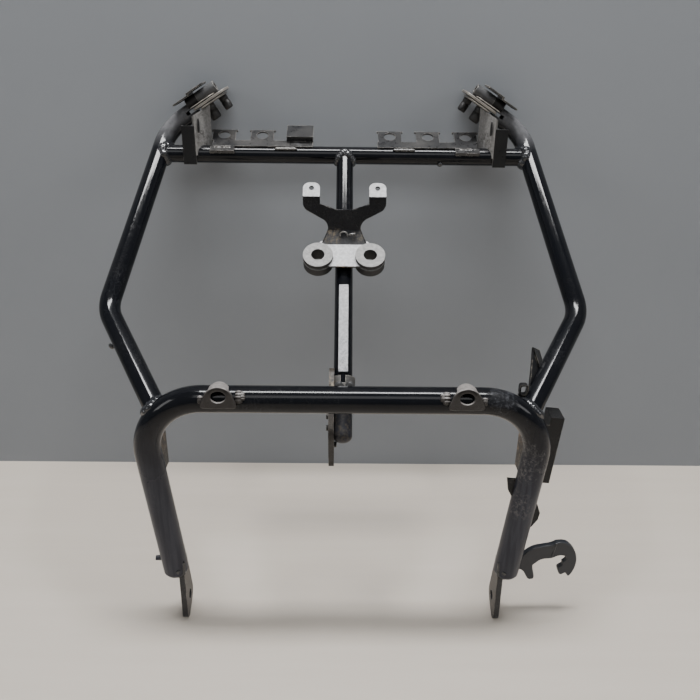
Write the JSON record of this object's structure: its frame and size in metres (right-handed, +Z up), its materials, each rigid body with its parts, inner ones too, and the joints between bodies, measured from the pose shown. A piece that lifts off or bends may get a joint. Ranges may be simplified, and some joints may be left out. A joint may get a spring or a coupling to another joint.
{
  "type": "motorcycle front subframe",
  "caption": "Black tubular front subframe: lower hoop with bolt-down feet, swept side tubes, cross and centre tubes, instrument bracket with grommets and mirror mounts.",
  "frame": {"origin": "midway between the two lower bolt holes, on their common axis", "axes": "-X is the row's left for someone who faces the instruments, along the bolt holes' axis; +Y runs from the instrument side to the back; +Z is up"},
  "size_m": [0.5192, 0.3223, 0.5416],
  "materials": {
    "frame_paint": "gloss black paint",
    "weld_paint": "painted weld bead, worn",
    "bracket_paint": "satin black paint, dusty",
    "dusty_steel": "dull plated steel with dust and light rust",
    "rubber": "dusty black rubber",
    "clip_plastic": "matt dark grey plastic"
  },
  "bodies": {
    "root": {"lower_hoop": "frame_paint", "left_side_tube": "frame_paint", "right_side_tube": "frame_paint", "upper_cross_tube": "frame_paint", "centre_tube": "frame_paint", "left_foot_plate": "frame_paint", "right_foot_plate": "frame_paint", "left_leg_cap": "frame_paint", "right_leg_cap": "frame_paint", "left_leg_stud": "frame_paint", "left_lower_weld": "weld_paint", "right_lower_weld": "weld_paint", "centre_weld": "weld_paint", "left_upper_weld": "weld_paint", "right_upper_weld": "weld_paint", "instrument_bracket": "bracket_paint", "centre_rib": "bracket_paint", "left_panel_strip": "bracket_paint", "right_panel_strip": "bracket_paint", "left_strip_support": "bracket_paint", "right_strip_support": "bracket_paint", "left_corner_gusset": "bracket_paint", "right_corner_gusset": "bracket_paint", "left_hoop_tab": "bracket_paint", "right_hoop_tab": "bracket_paint", "left_leg_plate": "bracket_paint", "right_leg_plate": "bracket_paint", "right_outer_bracket": "bracket_paint", "right_rear_bracket": "bracket_paint", "right_inner_tab": "bracket_paint", "right_outer_tab": "bracket_paint", "head_plate": "bracket_paint", "head_pins": "dusty_steel", "head_saddle": "dusty_steel", "left_mirror_plate": "dusty_steel", "right_mirror_plate": "dusty_steel", "left_mirror_backing": "dusty_steel", "right_mirror_backing": "dusty_steel", "left_mirror_sleeve": "dusty_steel", "right_mirror_sleeve": "dusty_steel", "left_mirror_cover": "dusty_steel", "right_mirror_cover": "dusty_steel", "left_mirror_stud_front": "dusty_steel", "right_mirror_stud_front": "dusty_steel", "left_mirror_stud_rear": "dusty_steel", "right_mirror_stud_rear": "dusty_steel", "left_grommet": "rubber", "right_grommet": "rubber", "left_mirror_bush": "rubber", "right_mirror_bush": "rubber", "hose_clip": "clip_plastic"}
  },
  "joints": []
}
